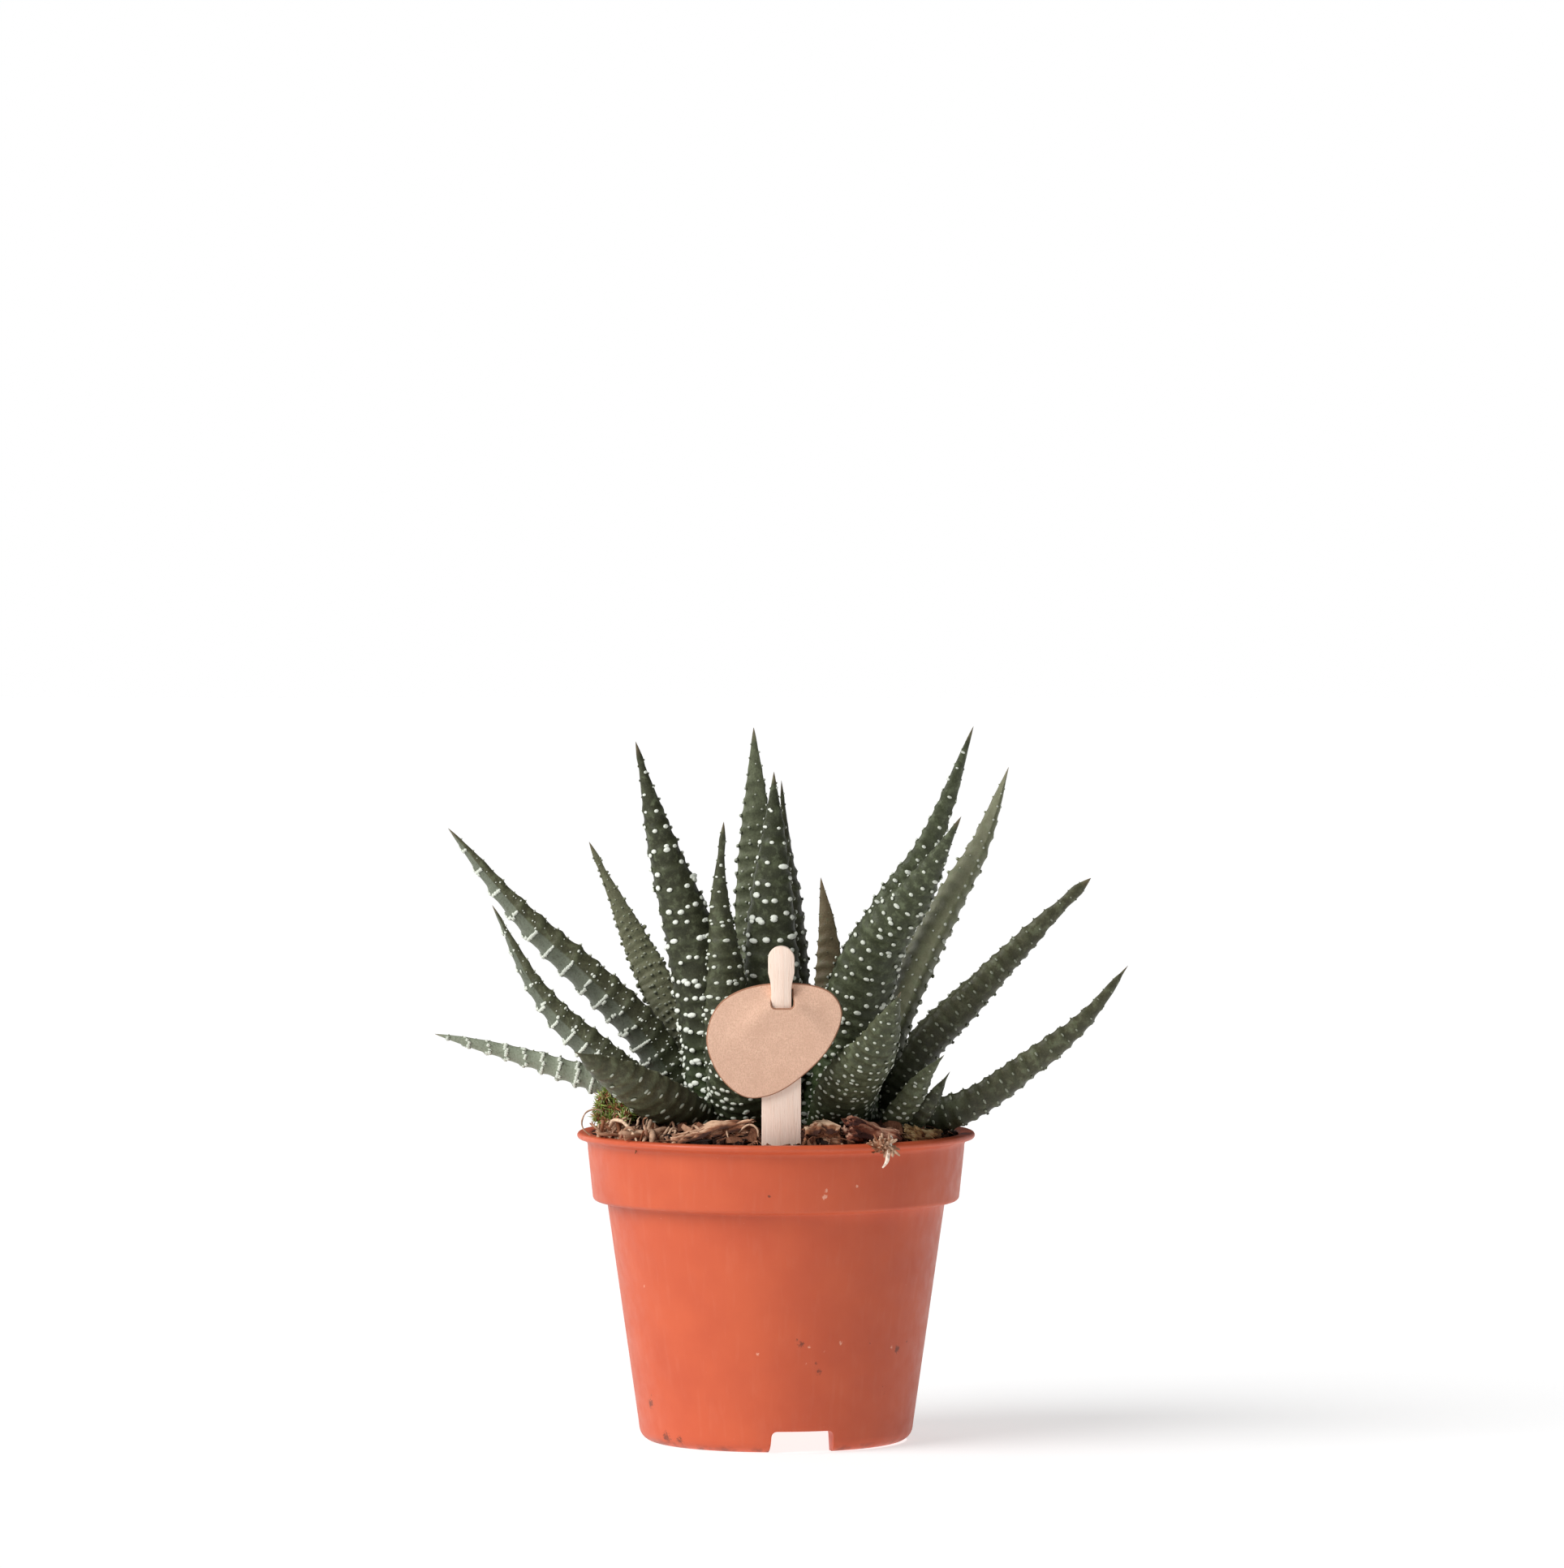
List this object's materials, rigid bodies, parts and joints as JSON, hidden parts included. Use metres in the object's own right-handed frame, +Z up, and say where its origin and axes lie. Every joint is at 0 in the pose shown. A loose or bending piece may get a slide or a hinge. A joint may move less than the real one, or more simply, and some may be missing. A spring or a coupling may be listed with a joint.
{
  "type": "potted haworthia",
  "caption": "Small potted haworthia: pointed dark leaves with white tubercle bands, in a notched plastic nursery pot, with a wooden label stick and a blank kraft tag.",
  "frame": {"origin": "middle of the pot's base, on the surface that the pot stands on", "axes": "+Z up; -Y towards the front, where the label stick and tag are; +X to the right seen from the front"},
  "size_m": [0.1046, 0.068, 0.1076],
  "materials": {
    "pot_plastic": "satin terracotta-coloured plastic",
    "soil_mix": "loose, matt, fibrous",
    "leaf": "waxy dark green with white tubercles",
    "stem": "matt",
    "stick_wood": "bare, fine-grained",
    "kraft_card": "uncoated kraft with flecks",
    "bark": "rough, splintered",
    "pale_wood": "rough, splintered",
    "moss": "matt, tufted"
  },
  "bodies": {
    "root": {"pot": "pot_plastic", "soil": "soil_mix", "stem_left": "stem", "stem_centre": "stem", "stem_right": "stem", "label_stick": "stick_wood", "tag": "kraft_card", "leaf_centre_front": "leaf", "leaf_centre_tall": "leaf", "leaf_left_upright": "leaf", "leaf_right_broad": "leaf", "leaf_centre_narrow": "leaf", "leaf_left_thin": "leaf", "leaf_right_big": "leaf", "leaf_left_back": "leaf", "leaf_left_high": "leaf", "leaf_right_back": "leaf", "leaf_right_arching": "leaf", "leaf_small_brown": "leaf", "leaf_left_middle": "leaf", "leaf_front_right": "leaf", "leaf_behind_tag": "leaf", "leaf_front_left": "leaf", "leaf_left_low": "leaf", "leaf_right_low": "leaf", "leaf_front_right_small": "leaf", "leaf_front_right_dark": "leaf", "leaf_heart_left_front": "leaf", "leaf_heart_left_back": "leaf", "leaf_heart_centre_front": "leaf", "leaf_heart_centre_back": "leaf", "leaf_heart_right_front": "leaf", "leaf_heart_right_back": "leaf", "leaf_back_left": "leaf", "leaf_back_left_high": "leaf", "leaf_back_left_low": "leaf", "leaf_back_centre": "leaf", "leaf_back_right": "leaf", "leaf_back_right_arching": "leaf", "leaf_back_low": "leaf", "leaf_back_low_left": "leaf", "bark_front_left": "bark", "bark_front_right": "bark", "bark_reddish": "bark", "chip_yellowish": "pale_wood", "bark_back_left": "bark", "bark_back_right": "bark", "moss_tuft": "moss"}
  },
  "joints": []
}
